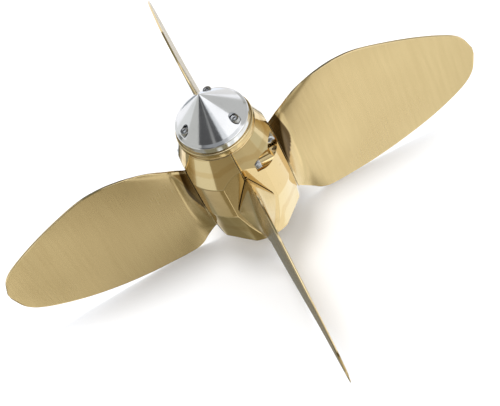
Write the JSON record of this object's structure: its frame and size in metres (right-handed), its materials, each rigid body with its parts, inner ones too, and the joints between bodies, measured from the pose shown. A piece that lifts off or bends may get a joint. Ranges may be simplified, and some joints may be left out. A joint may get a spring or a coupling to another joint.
{
  "type": "feathering ship propeller",
  "caption": "Feathering boat propeller: a split bronze body on a tapered shaft hub carries broad flat blades that turn on their own roots, with a nose cap and a conical anode.",
  "frame": {"origin": "on the shaft axis at the level of the floor, under the lowest edges of the blades", "axes": "+Z along the shaft axis towards the nose; the blades point along -Y (front), +X (right), +Y (back) and -X (left)"},
  "size_m": [0.52, 0.52, 0.2096],
  "materials": {
    "hub_bronze": "machined bronze, fine turning marks",
    "body_bronze": "polished bronze",
    "cap_bronze": "polished bronze",
    "blade_bronze": "ground and polished bronze, satin",
    "anode_metal": "turned bare metal",
    "screw_steel": "bright stainless steel"
  },
  "bodies": {
    "hub": {"hub": "hub_bronze"},
    "body": {"body_quarter_front_right": "body_bronze", "body_quarter_back_right": "body_bronze", "body_quarter_back_left": "body_bronze", "body_quarter_front_left": "body_bronze", "nose_cap": "cap_bronze", "nose_anode": "anode_metal", "anode_screw_1": "screw_steel", "anode_screw_2": "screw_steel", "anode_screw_3": "screw_steel", "seam_bolt_front": "screw_steel", "seam_bolt_right": "screw_steel", "seam_bolt_back": "screw_steel", "seam_bolt_left": "screw_steel"},
    "front_blade": {"blade_front": "blade_bronze"},
    "right_blade": {"blade_right": "blade_bronze"},
    "back_blade": {"blade_back": "blade_bronze"},
    "left_blade": {"blade_left": "blade_bronze"}
  },
  "joints": [
    {"name": "body_turn", "type": "hinge", "parent": "hub", "child": "body", "pos_m": [0, 0, 0.08], "axis": [0, 0, 1], "range_deg": [-52, 47.8]},
    {"name": "blade_pitch_front", "type": "hinge", "parent": "body", "child": "front_blade", "pos_m": [0, 0, 0.08], "axis": [0, -1, 0], "range_deg": [-67, 73]},
    {"name": "blade_pitch_right", "type": "hinge", "parent": "body", "child": "right_blade", "pos_m": [0, 0, 0.08], "axis": [1, 0, 0], "range_deg": [-67, 73]},
    {"name": "blade_pitch_back", "type": "hinge", "parent": "body", "child": "back_blade", "pos_m": [0, 0, 0.08], "axis": [0, 1, 0], "range_deg": [-67, 73]},
    {"name": "blade_pitch_left", "type": "hinge", "parent": "body", "child": "left_blade", "pos_m": [0, 0, 0.08], "axis": [-1, 0, 0], "range_deg": [-67, 73]}
  ],
  "couplings": [
    {"joint": "blade_pitch_front", "follows": "body_turn", "ratio": -1.4},
    {"joint": "blade_pitch_right", "follows": "body_turn", "ratio": -1.4},
    {"joint": "blade_pitch_back", "follows": "body_turn", "ratio": -1.4},
    {"joint": "blade_pitch_left", "follows": "body_turn", "ratio": -1.4}
  ]
}
